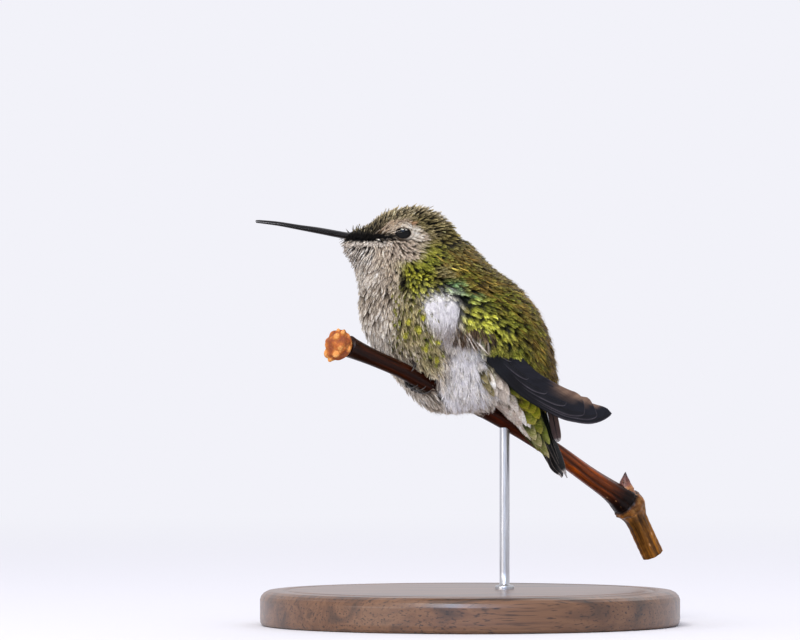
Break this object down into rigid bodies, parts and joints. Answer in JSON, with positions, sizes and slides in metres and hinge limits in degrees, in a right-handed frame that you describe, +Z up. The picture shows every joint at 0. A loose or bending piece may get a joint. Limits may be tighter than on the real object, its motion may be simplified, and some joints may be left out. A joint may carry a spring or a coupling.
{
  "type": "perched hummingbird model",
  "caption": "Life-size still model of a small green-backed hummingbird with a long thin bill, perched on a cut twig that a thin rod holds over a round wooden stand.",
  "frame": {"origin": "centre of the underside of the round stand base", "axes": "+Z up, the bird's bill points to -X, its left side is -Y"},
  "size_m": [0.0891, 0.084, 0.0839],
  "materials": {
    "plumage": "matte",
    "tail_feathers": "satin",
    "wing_feathers": "satin",
    "eye": "gloss",
    "horn": "satin",
    "leg_skin": "satin",
    "bark": "satin",
    "callus": "matte",
    "stand_wood": "satin",
    "stand_metal": "satin"
  },
  "bodies": {
    "root": {"head": "plumage", "neck": "plumage", "trunk": "plumage", "tail": "tail_feathers", "wing_left": "wing_feathers", "wing_right": "wing_feathers", "eye_left": "eye", "eye_right": "eye", "bill_upper": "horn", "bill_lower": "horn", "leg_left": "leg_skin", "leg_right": "leg_skin", "perch_twig": "bark", "perch_callus": "callus", "perch_bud": "bark", "stand_base": "stand_wood", "stand_rod": "stand_metal"}
  },
  "joints": []
}
